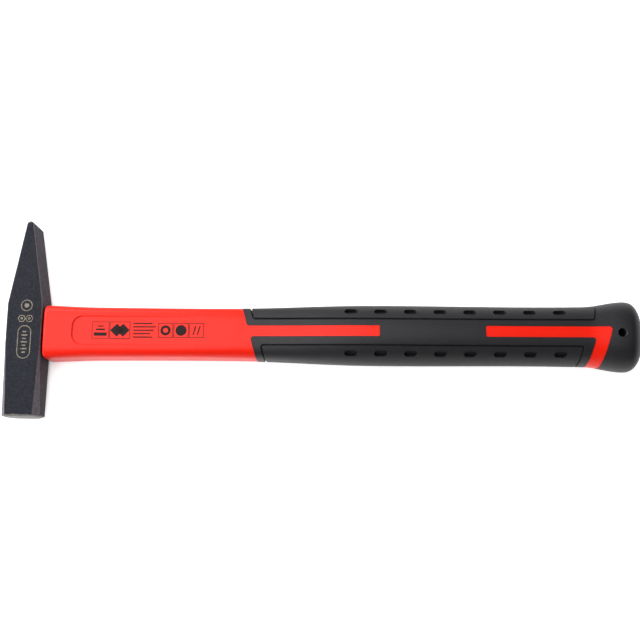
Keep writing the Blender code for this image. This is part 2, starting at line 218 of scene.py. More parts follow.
class HammerFinishSettings(bpy.types.PropertyGroup):
    """Colours of the finishes."""

    lacquer: colour("Lacquer", "Blue-black lacquer of the head", (0.0052, 0.0062, 0.0125))
    # Painted side light: the lighter grey laid on the head's cut corners and wedge
    side_light_grey: colour("Thin lacquer", "Its grey on cut corners", (0.150, 0.142, 0.160))
    steel: colour("Steel", "Ground steel", (0.17, 0.163, 0.155))
    etching: colour("Etching", "Marks burnt through the lacquer", (0.30, 0.26, 0.19))
    red: colour("Red", "Plastic of the jacket", (0.88, 0.014, 0.003))
    rubber: colour("Rubber", "Rubber of the sleeve", (0.0094, 0.0084, 0.0112))
    pad: colour("Pad", "Softer rubber of the pads", (0.0092, 0.0082, 0.0108))
    ink: colour("Ink", "Printed marks on the neck", (0.014, 0.004, 0.004))
    resin: colour("Resin", "Potting in the eye", (0.018, 0.017, 0.016))
    rod: colour("Rod", "Glass-fibre core", (0.42, 0.37, 0.22))
    floor: colour("Floor", "Floor under the hammer", (0.60, 0.60, 0.60))


# Plain shapes -------------------------------------------------------------------------


def smooth_curve(keys, x):
    """Cubic curve through (x, value) keys, level at both ends."""
    if x <= keys[0][0]:
        return keys[0][1]
    for index in range(len(keys) - 1):
        (x0, v0), (x1, v1) = keys[index], keys[index + 1]
        if x <= x1:
            slope0 = (v1 - keys[index - 1][1]) / (x1 - keys[index - 1][0]) if index else 0
            later = keys[index + 2] if index + 2 < len(keys) else None
            slope1 = (later[1] - v0) / (later[0] - x0) if later else 0
            span = x1 - x0
            t = (x - x0) / span
            blend = t * t * (3 - 2 * t)
            rise = (t - 2 * t * t + t * t * t) * slope0 + (t * t * t - t * t) * slope1
            return v0 + (v1 - v0) * blend + rise * span
    return keys[-1][1]


def spread(start, end, pitch):
    """Even stations from start to end, no further apart than the pitch."""
    count = max(1, math.ceil((end - start) / pitch))
    return [start + (end - start) * index / count for index in range(count + 1)]


def superellipse(half_height, half_thickness, exponent, points):
    """Points (y, z) of a rounded section; a large exponent makes it nearly rectangular."""
    ring = []
    for index in range(points):
        angle = 2 * math.pi * index / points
        up, out = math.cos(angle), math.sin(angle)
        y = math.copysign(abs(up) ** (2 / exponent), up) * half_height
        z = math.copysign(abs(out) ** (2 / exponent), out) * half_thickness
        ring.append((y, z))
    return ring


def rounded(corners):
    """Replace each (x, y, radius) corner by an arc; radius 0 keeps the corner sharp."""
    outline = []
    for index, (x, y, radius) in enumerate(corners):
        corner = Vector((x, y))
        if radius == 0:
            outline.append(corner)
            continue
        before = (Vector(corners[index - 1][:2]) - corner).normalized()
        after = (Vector(corners[(index + 1) % len(corners)][:2]) - corner).normalized()
        half_angle = before.angle(after) / 2
        centre = corner + (before + after).normalized() * radius / math.sin(half_angle)
        tangent = radius / math.tan(half_angle)
        first = (corner + before * tangent - centre).normalized()
        last = (corner + after * tangent - centre).normalized()
        for step in range(ARC_STEPS + 1):
            outline.append(centre + first.slerp(last, step / ARC_STEPS) * radius)
    return [tuple(point) for point in outline]


def rectangle(x, y, width, height, radius=0.0):
    """Outline of a rectangle centred on (x, y)."""
    right, top = width / 2, height / 2
    corners = [(-right, -top), (right, -top), (right, top), (-right, top)]
    return rounded([(x + across, y + up, radius) for across, up in corners])


def regular(x, y, radius, sides, turn=0.0):
    """Outline of a regular polygon centred on (x, y); many sides make a circle."""
    outline = []
    for index in range(sides):
        angle = turn + 2 * math.pi * index / sides
        outline.append((x + radius * math.cos(angle), y + radius * math.sin(angle)))
    return outline


def shape_skin(build, rings, closed=False):
    """Skin rings of equal point counts. An open tube gets caps, a closed one meets itself."""
    layers = [[build.verts.new(point) for point in ring] for ring in rings]
    pairs = list(zip(layers, layers[1:]))
    if closed:
        pairs.append((layers[-1], layers[0]))
    for low, high in pairs:
        for index in range(len(low)):
            following = (index + 1) % len(low)
            build.faces.new((low[index], low[following], high[following], high[index]))
    if not closed:
        build.faces.new(layers[0][::-1])
        build.faces.new(layers[-1])


def loft(rings):
    """Body skinned over rings, with flat ends."""
    build = bmesh.new()
    shape_skin(build, rings)
    return build


def prism(outlines, bottom=-REACH, top=REACH):
    """Closed outlines in the XY plane, each drawn out along Z into a body."""
    build = bmesh.new()
    for outline in outlines:
        low = [(x, y, bottom) for x, y in outline]
        high = [(x, y, top) for x, y in outline]
        shape_skin(build, [low, high])
    return build


def new_piece(name, build):
    """Link an object whose faces all point out."""
    bmesh.ops.recalc_face_normals(build, faces=build.faces)
    mesh = bpy.data.meshes.new(name)
    build.to_mesh(mesh)
    build.free()
    piece = bpy.data.objects.new(name, mesh)
    bpy.context.scene.collection.objects.link(piece)
    return piece


def carve(piece, cutter, operation="DIFFERENCE"):
    """Cut, join or keep with an exact Boolean, and settle the result as the piece's mesh."""
    modifier = piece.modifiers.new("carve", "BOOLEAN")
    modifier.object = cutter
    modifier.operation = operation
    modifier.solver = "EXACT"
    bpy.context.view_layer.update()
    graph = bpy.context.evaluated_depsgraph_get()
    settled = bpy.data.meshes.new_from_object(piece.evaluated_get(graph), depsgraph=graph)
    piece.modifiers.remove(modifier)
    rough = piece.data
    piece.data = settled
    settled.name = piece.name
    bpy.data.meshes.remove(rough)
    if not piece.data.polygons:
        raise RuntimeError(f"nothing is left of {piece.name} after {cutter.name}")


def discard(*cutters):
    """Remove cutters once they have done their work."""
    for cutter in cutters:
        mesh = cutter.data
        bpy.data.objects.remove(cutter)
        bpy.data.meshes.remove(mesh)


def drop_slivers(mesh):
    """Merge points that meet, and drop the faces without area that cutting leaves."""
    build = bmesh.new()
    build.from_mesh(mesh)
    bmesh.ops.remove_doubles(build, verts=build.verts, dist=SLIVER)
    bmesh.ops.dissolve_degenerate(build, edges=build.edges, dist=SLIVER)
    build.to_mesh(mesh)
    build.free()


def dress(piece, material, slot, *nodes):
    """Give a piece its material, its shading and its place in the frame."""
    drop_slivers(piece.data)
    piece.data.materials.clear()
    piece.data.materials.append(material)
    piece.data.shade_smooth()
    piece.data.set_sharp_from_angle(angle=SMOOTH_ANGLE)
    even = piece.modifiers.new("even_shading", "WEIGHTED_NORMAL")
    even.keep_sharp = True
    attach(piece, "root")
    if nodes:
        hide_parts(*nodes)
    return piece


# Handle form --------------------------------------------------------------------------


class HandleForm:
    """The handle's outer shape, worked out once from its sizes."""

    DOME_EXPONENT = 2.5
    DOME_STEPS = 14

    def __init__(self, size):
        self.neck_start = JACKET_LOW.x
        self.dome_start = HANDLE_END - size.butt_dome
        self.flare_start = self.dome_start - size.flare_length
        neck_middle = (self.neck_start + size.grip_start) / 2
        swell_start = size.grip_start - size.grip_lead
        belly = size.grip_start + size.belly_length
        self.height_keys = [
            (self.neck_start, size.neck_end_height),
            ((self.neck_start + neck_middle) / 2, size.neck_height),
            (swell_start, size.neck_height),
            (belly, size.grip_height),
            (self.flare_start, size.waist_height),
            (self.dome_start, SLEEVE_HIGH.y - SLEEVE_LOW.y),
        ]
        self.thickness_keys = [
            (swell_start, size.neck_thickness),
            (belly, size.grip_thickness),
            (self.flare_start, size.grip_thickness),
            (self.dome_start, SLEEVE_HIGH.z - SLEEVE_LOW.z),
        ]
        self.exponent_keys = [
            (neck_middle, size.neck_squareness),
            (belly, size.grip_squareness),
            (self.dome_start, size.butt_squareness),
        ]

    def section(self, x):
        """Half height, half thickness and exponent at x."""
        height = smooth_curve(self.height_keys, x)
        thickness = smooth_curve(self.thickness_keys, x)
        return height / 2, thickness / 2, smooth_curve(self.exponent_keys, x)

    def rings(self, start, inset, rounding=0.0):
        """Rings of the form, inset all round, from start to the domed end."""
        stations = []
        for step in range(ARC_STEPS if rounding else 0):
            angle = math.pi / 2 * step / ARC_STEPS
            along = start + rounding * (1 - math.cos(angle))
            stations.append((along, rounding * (1 - math.sin(angle)), 1))
        body = spread(start + rounding, self.flare_start, STATION_PITCH)
        flare = spread(self.flare_start, self.dome_start, STATION_PITCH)
        stations += [(x, 0, 1) for x in body + flare[1:]]
        reach = HANDLE_END - inset - self.dome_start
        for step in range(1, self.DOME_STEPS + 1):
            angle = math.pi / 2 * step / (self.DOME_STEPS + 1)
            along = math.sin(angle) ** (2 / self.DOME_EXPONENT)
            across = math.cos(angle) ** (2 / self.DOME_EXPONENT)
            stations.append((self.dome_start + reach * along, 0, across))
        rings = []
        for x, more, scale in stations:
            half_height, half_thickness, exponent = self.section(x)
            off = inset + more
            height, thickness = (half_height - off) * scale, (half_thickness - off) * scale
            section = superellipse(height, thickness, exponent, RING_POINTS)
            rings.append([(x, AXIS_Y + y, z) for y, z in section])
        return rings

    def at_angle(self, x, angle):
        """Point of the surface at x, at an angle round the section from +Y."""
        half_height, half_thickness, exponent = self.section(x)
        up, out = math.cos(angle), math.sin(angle)
        y = math.copysign(abs(up) ** (2 / exponent), up) * half_height
        z = math.copysign(abs(out) ** (2 / exponent), out) * half_thickness
        return Vector((x, AXIS_Y + y, z))

    def angle_of(self, x, y):
        """Angle round the section, on the upper side, of the surface at height y."""
        half_height, _, exponent = self.section(x)
        share = max(-1.0, min(1.0, y / half_height))
        return math.acos(math.copysign(abs(share) ** (exponent / 2), share))

    def normal(self, x, angle):
        """Outward direction of the surface at x and an angle."""
        step = 0.01
        round_way = self.at_angle(x, angle + step) - self.at_angle(x, angle - step)
        long_way = self.at_angle(x + MM, angle) - self.at_angle(x - MM, angle)
        return round_way.cross(long_way).normalized()


class GripLayout:
    """Places of the grip's windows, pads and pits, worked out once from their sizes."""

    BAR_CORNER = 0.6 * MM
    SLANT_CORNER = 1.2 * MM
    HOOK_CORNER = 1.2 * MM
    PAD_CORNER = 1.0 * MM
    SEAM_STEPS = 12

    def __init__(self, handle, grip):
        self.grip = grip
        self.lean = math.tan(grip.slant)
        self.start = handle.grip_start
        self.stripe_end = handle.grip_start + grip.stripe_length
        self.hook_end = HANDLE_END - grip.hook_inset
        self.hook_start = self.hook_end - grip.hook_length
        self.leg_start = self.hook_end - grip.hook_leg / math.cos(grip.slant)
        self.pad_start = handle.grip_start + grip.pad_lead
        self.pad_edge = grip.window_rise + grip.bar_height / 2 + grip.pad_web
        self.pad_end = {1: self.leg_start - grip.upper_tail, -1: self.leg_start - grip.lower_tail}
        first = self.pad_start + grip.pit_lead
        last = self.pad_end[-1] - grip.pit_tail
        pitch = (last - first) / (grip.pit_count - 1)
        self.pits = [first + index * pitch for index in range(grip.pit_count)]
        self.hole_x = HANDLE_END - grip.hole_inset

    def slanted(self, x_at_axis, y, direction):
        """Point (x, y) on a line that crosses the axis at x_at_axis and leans by the slant."""
        return x_at_axis + direction * self.lean * y, AXIS_Y + y

    def windows(self, grow):
        """Outlines where the jacket shows: the neck with its stripe, and the hook."""
        low = self.grip.window_rise - self.grip.bar_height / 2 - grow
        high = self.grip.window_rise + self.grip.bar_height / 2 + grow
        side = grow / math.cos(self.grip.slant)
        start, leg, end = self.start + side, self.leg_start - side, self.hook_end + side
        neck = [
            (-REACH, AXIS_Y - REACH, 0),
            (*self.slanted(start, -REACH, -1), 0),
            (*self.slanted(start, low, -1), self.SLANT_CORNER),
            (self.stripe_end + grow, AXIS_Y + low, self.BAR_CORNER),
            (self.stripe_end + grow, AXIS_Y + high, self.BAR_CORNER),
            (*self.slanted(start, high, -1), self.SLANT_CORNER),
            (*self.slanted(start, REACH, -1), 0),
            (-REACH, AXIS_Y + REACH, 0),
        ]
        hook = [
            (self.hook_start - grow, AXIS_Y + low, self.BAR_CORNER),
            (*self.slanted(leg, low, 1), self.HOOK_CORNER),
            (*self.slanted(leg, -REACH, 1), 0),
            (*self.slanted(end, -REACH, 1), 0),
            (*self.slanted(end, high, 1), self.HOOK_CORNER),
            (self.hook_start - grow, AXIS_Y + high, self.BAR_CORNER),
        ]
        return [rounded(neck), rounded(hook)]

    def pad(self, side, grow):
        """Outline of the upper (side 1) or lower (side -1) pad, open past the handle's edge."""
        end = self.pad_end[side] + grow / math.cos(self.grip.slant)
        start = self.pad_start - grow / math.cos(self.grip.slant)
        edge = side * (self.pad_edge - grow)
        far = side * REACH
        return rounded(
            [
                (*self.slanted(start, edge, -1), self.PAD_CORNER),
                (*self.slanted(end, edge, 1), self.PAD_CORNER),
                (*self.slanted(end, far, 1), 0),
                (*self.slanted(start, far, -1), 0),
            ]
        )

    def seam(self, form, side):
        """Closed path on the surface along the middle of a pad's seam, as (x, angle) pairs."""
        outline = self.pad(side, self.grip.seam_gap / 2)
        corner_run = outline[: 2 * (ARC_STEPS + 1)]
        near = []
        for (x0, y0), (x1, y1) in zip(corner_run, corner_run[1:]):
            steps = max(1, round(math.hypot(x1 - x0, y1 - y0) / STATION_PITCH))
            for step in range(steps):
                share = step / steps
                near.append((x0 + (x1 - x0) * share, y0 + (y1 - y0) * share - AXIS_Y))
        near.append((corner_run[-1][0], corner_run[-1][1] - AXIS_Y))
        upper = [(x, form.angle_of(x, y)) for x, y in near]
        flank = 0.0 if side > 0 else math.pi
        ends = []
        for (x, angle), height, lean in (
            (upper[-1], near[-1][1], 1),
            (upper[0], near[0][1], -1),
        ):
            climb = []
            for step in range(1, self.SEAM_STEPS + 1):
                turned = angle + (flank - angle) * step / self.SEAM_STEPS
                y = form.at_angle(x, turned).y - AXIS_Y
                climb.append((x + lean * self.lean * (y - height), turned))
            ends.append(climb)
        rear, front = ends
        under = [(x, 2 * flank - angle) for x, angle in rear[-2::-1]]
        under += [(x, 2 * flank - angle) for x, angle in upper[::-1]]
        under += [(x, 2 * flank - angle) for x, angle in front[:-1]]
        return upper + rear + under + front[::-1]


def settings(*groups):
    """The scene's settings for head, handle, grip or finish."""
    return [getattr(bpy.context.scene, f"hammer_{group}") for group in groups]


def tube_along(form, path, radius, sides=10):
    """Closed round tube that follows (x, angle) points of the surface."""
    points = [form.at_angle(x, angle) for x, angle in path]
    rings = []
    for index, (x, angle) in enumerate(path):
        ahead = points[(index + 1) % len(points)] - points[index - 1]
        out = form.normal(x, angle)
        across = ahead.cross(out).normalized()
        out = across.cross(ahead).normalized()
        ring = []
        for side in range(sides):
            turn = 2 * math.pi * side / sides
            ring.append(points[index] + (across * math.cos(turn) + out * math.sin(turn)) * radius)
        rings.append(ring)
    build = bmesh.new()
    shape_skin(build, rings, closed=True)
    return build


# Materials ----------------------------------------------------------------------------


def feed(socket, value):
    """Link a socket to the one that feeds it, or give it a value of its own."""
    if isinstance(value, bpy.types.NodeSocket):
        socket.id_data.links.new(value, socket)
    else:
        socket.default_value = value


def add_node(tree, kind, place, settings=None, **inputs):
    """A node with its settings, each input fed by a socket or set to a value."""
    node = tree.nodes.new(kind)
    node.location = (place[0] * NODE_PITCH, place[1] * NODE_PITCH)
    for name, value in (settings or {}).items():
        setattr(node, name, value)
    for name, value in inputs.items():
        feed(node.inputs[name.replace("_", " ")], value)
    return node


def calculate(tree, place, operation, *operands):
    """Result of a Math node over sockets and numbers."""
    node = add_node(tree, "ShaderNodeMath", place, {"operation": operation})
    for socket, operand in zip(node.inputs, operands):
        feed(socket, operand)
    return node.outputs["Value"]


def remap(tree, place, value, before, after, curve="LINEAR"):
    """A value carried from one pair of bounds to another, and held within them."""
    kind = {"interpolation_type": curve}
    node = add_node(tree, "ShaderNodeMapRange", place, kind, Value=value)
    for label, bound in zip(("From Min", "From Max", "To Min", "To Max"), (*before, *after)):
        node.inputs[label].default_value = bound
    return node.outputs["Result"]


def mix(tree, place, share, first, second, kind="RGBA"):
    """Blend of two colours or, with kind FLOAT, of two numbers."""
    settings = {"data_type": kind}
    node = add_node(tree, "ShaderNodeMix", place, settings, Factor=share, A=first, B=second)
    return node.outputs["Result"]


def cloud(tree, place, vector, scale, detail, roughness=0.5):
    """Soft noise from 0 to 1."""
    node = add_node(
        tree,
        "ShaderNodeTexNoise",
        place,
        Vector=vector,
        Scale=scale,
        Detail=detail,
        Roughness=roughness,
    )
    return node.outputs["Fac"]


def bumped(tree, place, height, strength, distance):
    """Normal roughened by a height."""
    node = add_node(
        tree, "ShaderNodeBump", place, Height=height, Strength=strength, Distance=distance
    )
    return node.outputs["Normal"]


def new_group(name, inputs, outputs):
    """Empty node group with its sockets and its two end nodes."""
    tree = bpy.data.node_groups.new(name, "ShaderNodeTree")
    for label, kind, default in inputs:
        socket = tree.interface.new_socket(name=label, in_out="INPUT", socket_type=kind)
        socket.default_value = default
    for label, kind in outputs:
        tree.interface.new_socket(name=label, in_out="OUTPUT", socket_type=kind)
    start = add_node(tree, "NodeGroupInput", (-5, 0))
    end = add_node(tree, "NodeGroupOutput", (5, 0))
    return tree, start.outputs, end.inputs


def grain_group():
    """Fine moulded or sprayed grain: a height for bump and a mask for roughness."""
    name, number = "hammer_grain", "NodeSocketFloat"
    if name in bpy.data.node_groups:
        return bpy.data.node_groups[name]
    tree, given, result = new_group(
        name,
        [("Fine Scale", number, 2500.0), ("Broad Scale", number, 250.0), ("Share", number, 0.5)],
        [("Height", number), ("Mask", number)],
    )
    place = add_node(tree, "ShaderNodeTexCoord", (-4, -1)).outputs["Object"]
    fine = cloud(tree, (-2, 1), place, given["Fine Scale"], 3.0, 0.6)
    broad = cloud(tree, (-2, -1), place, given["Broad Scale"], 4.0, 0.55)
    feed(result["Height"], mix(tree, (0, 0), given["Share"], fine, broad, "FLOAT"))
    feed(result["Mask"], broad)
    return tree


def mottle_group():
    """Uneven tone: one colour blotched with another at a chosen scale."""
    name, number, tint = "hammer_mottle", "NodeSocketFloat", "NodeSocketColor"
    if name in bpy.data.node_groups:
        return bpy.data.node_groups[name]
    tree, given, result = new_group(
        name,
        [
            ("Base", tint, (0.5, 0.5, 0.5, 1)),
            ("Blotch", tint, (0.6, 0.6, 0.6, 1)),
            ("Scale", number, 300.0),
            ("Amount", number, 0.5),
        ],
        [("Color", tint), ("Mask", number)],
    )
    place = add_node(tree, "ShaderNodeTexCoord", (-4, -1)).outputs["Object"]
    blotches = cloud(tree, (-3, -1), place, given["Scale"], 5.0, 0.65)
    steep = add_node(tree, "ShaderNodeValToRGB", (-1, -1), Fac=blotches)
    steep.color_ramp.elements[0].position = 0.38
    steep.color_ramp.elements[1].position = 0.66
    amount = calculate(tree, (1, -1), "MULTIPLY", steep.outputs["Color"], given["Amount"])
    feed(result["Color"], mix(tree, (3, 0), amount, given["Base"], given["Blotch"]))
    feed(result["Mask"], amount)
    return tree


def grained(tree, place, fine, broad, share=0.5):
    """Height and mask of the grain at two scales."""
    settings = {"node_tree": grain_group()}
    node = add_node(
        tree, "ShaderNodeGroup", place, settings, Fine_Scale=fine, Broad_Scale=broad, Share=share
    )
    return node.outputs["Height"], node.outputs["Mask"]


def mottled(tree, place, base, blotch, scale, amount):
    """Colour blotched with another."""
    settings = {"node_tree": mottle_group()}
    node = add_node(
        tree,
        "ShaderNodeGroup",
        place,
        settings,
        Base=base,
        Blotch=blotch,
        Scale=scale,
        Amount=amount,
    )
    return node.outputs["Color"]


def new_material(name):
    """Material with its node tree and the inputs of its Principled shader."""
    material = bpy.data.materials.new(name)
    material.use_nodes = True
    return material, material.node_tree, material.node_tree.nodes["Principled BSDF"].inputs


def tone(tint, share):
    """A colour made lighter or darker by a share, with full alpha."""
    return tuple(min(1.0, part * share) for part in tint) + (1.0,)


def grained_finish(name, tones, roughness, bump, scales, amount=0.5, constants=None):
    """Material with mottled colour, grain in its roughness and a fine bump.

    tones are the colour and its blotches, roughness its middle and spread, bump its strength
    and distance, and scales those of the fine grain, the broad grain and the blotches.
    """
    material, tree, surface = new_material(name)
    fine, broad, blotches = scales
    height, mask = grained(tree, (-4, -1), fine, broad)
    bounds = (roughness[0] - roughness[1], roughness[0] + roughness[1])
    feed(surface["Base Color"], mottled(tree, (-4, 1), *tones, blotches, amount))
    feed(surface["Roughness"], remap(tree, (-2, 0), mask, (0, 1), bounds))
    feed(surface["Normal"], bumped(tree, (-2, -2), height, *bump))
    for label, value in (constants or {}).items():
        surface[label].default_value = value
    return material


def lacquered_steel(head, finish):
    """Blue-black lacquer with painted side light on cut corners, ground away at the face and the
    peen.
    """
    material, tree, surface = new_material("lacquered_steel")
    coordinates = add_node(tree, "ShaderNodeTexCoord", (-10, 0))
    place = coordinates.outputs["Object"]

    # Bare steel ends at a ragged line beside the bevel and the peen's tip
    along = add_node(tree, "ShaderNodeSeparateXYZ", (-9, 0), Vector=place).outputs["Y"]
    ragged = cloud(tree, (-9, -1), place, 700.0, 3.0)
    wander = remap(tree, (-8, -1), ragged, (0, 1), (-RAGGED_EDGE, RAGGED_EDGE))
    edge = calculate(tree, (-7, 0), "ADD", along, wander)
    bevel, peen = head.face_bevel, HEAD_HIGH.y
    face = remap(tree, (-6, 1), edge, (bevel + 0.15 * MM, bevel), (0, 1))
    tip = remap(tree, (-6, -1), edge, (peen - 0.75 * MM, peen - 0.3 * MM), (0, 1))
    bare = calculate(tree, (-5, 0), "MAXIMUM", face, tip)
    stretch = add_node(tree, "ShaderNodeMapping", (-8, -3), Vector=place)
    stretch.inputs["Scale"].default_value = (200.0, 4000.0, 6000.0)
    lines = cloud(tree, (-7, -3), stretch.outputs["Vector"], 1.0, 4.0)
    steel = mix(tree, (-5, -3), lines, tone(finish.steel, 0.8), tone(finish.steel, 1.15))

    # Painted side light: a lighter grey where a cut corner or the wedge leans to the side, less on
    # a cheek
    normal = coordinates.outputs["Normal"]
    facing = add_node(tree, "ShaderNodeSeparateXYZ", (-9, 3), Vector=normal).outputs["X"]
    sideways = calculate(tree, (-8, 3), "ABSOLUTE", facing)
    cut = remap(tree, (-7, 4), sideways, (0.25, 0.6), (0, 1))
    cheek = remap(tree, (-7, 5), sideways, (0.9, 0.97), (1, 0.3))
    painted_side_light = calculate(tree, (-6, 4), "MULTIPLY", cut, cheek)
    deep_tones = tone(finish.lacquer, 0.4), tone(finish.lacquer, 2.2)
    side_light_tones = tone(finish.side_light_grey, 1.1), tone(finish.side_light_grey, 0.5)
    lacquer = mottled(tree, (-6, 3), *deep_tones, 1100.0, 1.0)
    side_lit_lacquer = mottled(tree, (-6, 5), *side_light_tones, 800.0, 0.6)
    lacquer_and_side_light = mix(tree, (-4, 4), painted_side_light, lacquer, side_lit_lacquer)

    height, mask = grained(tree, (-6, -5), 1900.0, 520.0, 0.6)
    rough = remap(tree, (-3, 0), mask, (0, 1), (0.36, 0.62))
    relief = mix(tree, (-3, -4), bare, height, lines, "FLOAT")
    feed(surface["Base Color"], mix(tree, (-3, 2), bare, lacquer_and_side_light, steel))
    feed(surface["Metallic"], bare)
    feed(surface["Roughness"], calculate(tree, (-2, 0), "MULTIPLY_ADD", cut, 0.3, rough))
    feed(surface["Normal"], bumped(tree, (-2, -4), relief, 0.8, 0.16 * MM))
    surface["Specular IOR Level"].default_value = 0.17
    return material


def etched_steel(finish):
    """Bare metal of the burnt marks, with specks of lacquer left in it."""
    return grained_finish(
        "etched_marks",
        (tone(finish.etching, 1.0), tone(finish.lacquer, 1.5)),
        (0.5, 0.08),
        (0.3, 0.03 * MM),
        (3000.0, 900.0, 2000.0),
        0.95,
        {"Metallic": 0.6},
    )


def red_plastic(finish):
    """Slightly glossy moulded plastic that lets a little light in."""
    return grained_finish(
        "red_jacket_plastic",
        (tone(finish.red, 1.0), tone(finish.red, 1.08)),
        (0.36, 0.05),
        (0.12, 0.05 * MM),
        (900.0, 160.0, 60.0),
        constants={
            "Specular IOR Level": 0.21,
            "Subsurface Weight": 0.04,
            "Subsurface Radius": (0.8 * MM, 0.15 * MM, 0.1 * MM),
            "Subsurface Scale": 1.0,
        },
    )


def rubber(name, tint, roughness):
    """Matt moulded rubber."""
    return grained_finish(
        name,
        (tone(tint, 0.88), tone(tint, 1.25)),
        (roughness, 0.06),
        (0.45, 0.10 * MM),
        (2400.0, 420.0, 150.0),
        constants={"Specular IOR Level": 0.45},
    )


def printing_ink(finish):
    """Flat dark print."""
    return grained_finish(
        "printing_ink",
        (tone(finish.ink, 1.0), tone(finish.ink, 1.8)),
        (0.6, 0.05),
        (0.1, 0.02 * MM),
        (3000.0, 700.0, 1200.0),
        constants={"Specular IOR Level": 0.2},
    )


def potting_resin(finish):
    """Glossy dark resin."""
    return grained_finish(
        "potting_resin",
        (tone(finish.resin, 1.0), tone(finish.resin, 1.7)),
        (0.28, 0.06),
        (0.35, 0.15 * MM),
        (1200.0, 260.0, 400.0),
    )


def glass_fibre(finish):
    """Fibre bundles along X, seen as dots at a cut end and as streaks along the side."""
    material, tree, surface = new_material("glass_fibre")
    place = add_node(tree, "ShaderNodeTexCoord", (-6, 0)).outputs["Object"]
    stretch = add_node(tree, "ShaderNodeMapping", (-5, 0), Vector=place)
    stretch.inputs["Scale"].default_value = (40.0, 2600.0, 2600.0)
    vector = stretch.outputs["Vector"]
    bundles = add_node(tree, "ShaderNodeTexVoronoi", (-4, 0), Vector=vector, Scale=1.0)
    tones = tone(finish.rod, 1.1), tone(finish.rod, 0.55)
    height = grained(tree, (-4, -2), 3200.0, 900.0)[0]
    feed(surface["Base Color"], mix(tree, (-2, 0), bundles.outputs["Distance"], *tones))
    feed(surface["Normal"], bumped(tree, (-2, -2), height, 0.4, 0.05 * MM))
    surface["Roughness"].default_value = 0.5
    return material


# Head ---------------------------------------------------------------------------------

CROWN_SCALES = (0.12, 0.4, 0.7, 0.9, 1.0)
BEVEL_SHARES = (0.1, 0.3, 0.7, 0.9, 1.0)
PEEN_ANGLES = (15, 30, 45, 60, 75, 84)
PEEN_TAPER = 0.12
HOLLOW_PITCH = 3.5 * MM


def octagon(half_width, half_thickness, cut_x, cut_z, softness, sides=(12, 3)):
    """Rectangle with cut, softened corners as (x, z) points, evenly divided along its sides."""
    inner_x, inner_z = half_width - cut_x, half_thickness - cut_z
    corners = [
        Vector((half_width, -inner_z)),
        Vector((half_width, inner_z)),
        Vector((inner_x, half_thickness)),
        Vector((-inner_x, half_thickness)),
        Vector((-half_width, inner_z)),
        Vector((-half_width, -inner_z)),
        Vector((-inner_x, -half_thickness)),
        Vector((inner_x, -half_thickness)),
    ]
    runs = []
    for index, corner in enumerate(corners):
        before, after = corners[index - 1] - corner, corners[(index + 1) % 8] - corner
        soft = min(softness, before.length * 0.3, after.length * 0.3)
        start = corner + before.normalized() * soft
        end = corner + after.normalized() * soft
        runs.append((start, (start + 2 * corner + end) / 4, end))
    ring = []
    for index, (start, middle, end) in enumerate(runs):
        ring += [start, middle]
        following = runs[(index + 1) % 8][0]
        steps = sides[index % 2]
        ring += [end.lerp(following, step / steps) for step in range(steps)]
    return ring


def head_stations(head):
    """Sections along the head from the face to the peen: y, half sizes, corner cuts in X and Z."""
    half_thickness = (HEAD_HIGH.z - HEAD_LOW.z) / 2
    half_face = (HEAD_HIGH.x - HEAD_LOW.x) / 2
    half_width = half_face - head.poll_flare / 2
    crown, bevel = head.face_crown, head.face_bevel
    stations = []
    for scale in CROWN_SCALES:
        width, thickness = (half_face - bevel) * scale, (half_thickness - bevel) * scale
        cuts = (head.chamfer_width * scale, head.chamfer_depth * scale)
        stations.append((crown * scale**2, width, thickness, *cuts))
    for share in BEVEL_SHARES:
        rise = crown + (bevel - crown) * share
        inset = bevel * (1 - math.sin(math.pi / 2 * share))
        cuts = (head.chamfer_width, head.chamfer_depth)
        stations.append((rise, half_face - inset, half_thickness - inset, *cuts))
    chamfer_start = AXIS_Y - head.chamfer_start
    for y in spread(bevel, chamfer_start, HEAD_PITCH)[1:]:
        share = (y - bevel) / (chamfer_start - bevel)
        width = half_face + (half_width - half_face) * share
        cut_x = head.chamfer_width + (head.long_edge - head.chamfer_width) * share
        cut_z = head.chamfer_depth + (head.long_edge - head.chamfer_depth) * share
        stations.append((y, width, half_thickness, cut_x, cut_z))
    shoulder = AXIS_Y + head.shoulder
    for y in spread(chamfer_start, shoulder, HEAD_PITCH)[1:]:
        stations.append((y, half_width, half_thickness, head.long_edge, head.long_edge))
    arc_centre = HEAD_HIGH.y - head.peen_radius
    for y in spread(shoulder, arc_centre, HEAD_PITCH)[1:]:
        share = (y - shoulder) / (arc_centre - shoulder)
        width = half_width + (head.peen_radius - half_width) * share
        stations.append((y, width, half_thickness, head.long_edge, head.long_edge))
    for angle in PEEN_ANGLES:
        across = math.cos(math.radians(angle)) * head.peen_radius
        y = arc_centre + math.sin(math.radians(angle)) * head.peen_radius
        edge = min(head.long_edge, across / 2)
        thickness = half_thickness - (head.peen_radius - across) * PEEN_TAPER
        stations.append((y, across, thickness, edge, edge))
    return stations


def oval_loft(stations, height, thickness, exponent=2.6):
    """Body with oval sections across the handle's axis at (x, inset) stations."""
    rings = []
    for x, inset in stations:
        section = superellipse(height / 2 - inset, thickness / 2 - inset, exponent, OVAL_POINTS)
        rings.append([(x, AXIS_Y + y, z) for y, z in section])
    return loft(rings)


def eye_size(head):
    """Height and thickness of the eye round the rod."""
    rod = ROD_HIGH - ROD_LOW
    return rod.y + 2 * head.eye_wall, rod.z + 2 * head.eye_wall


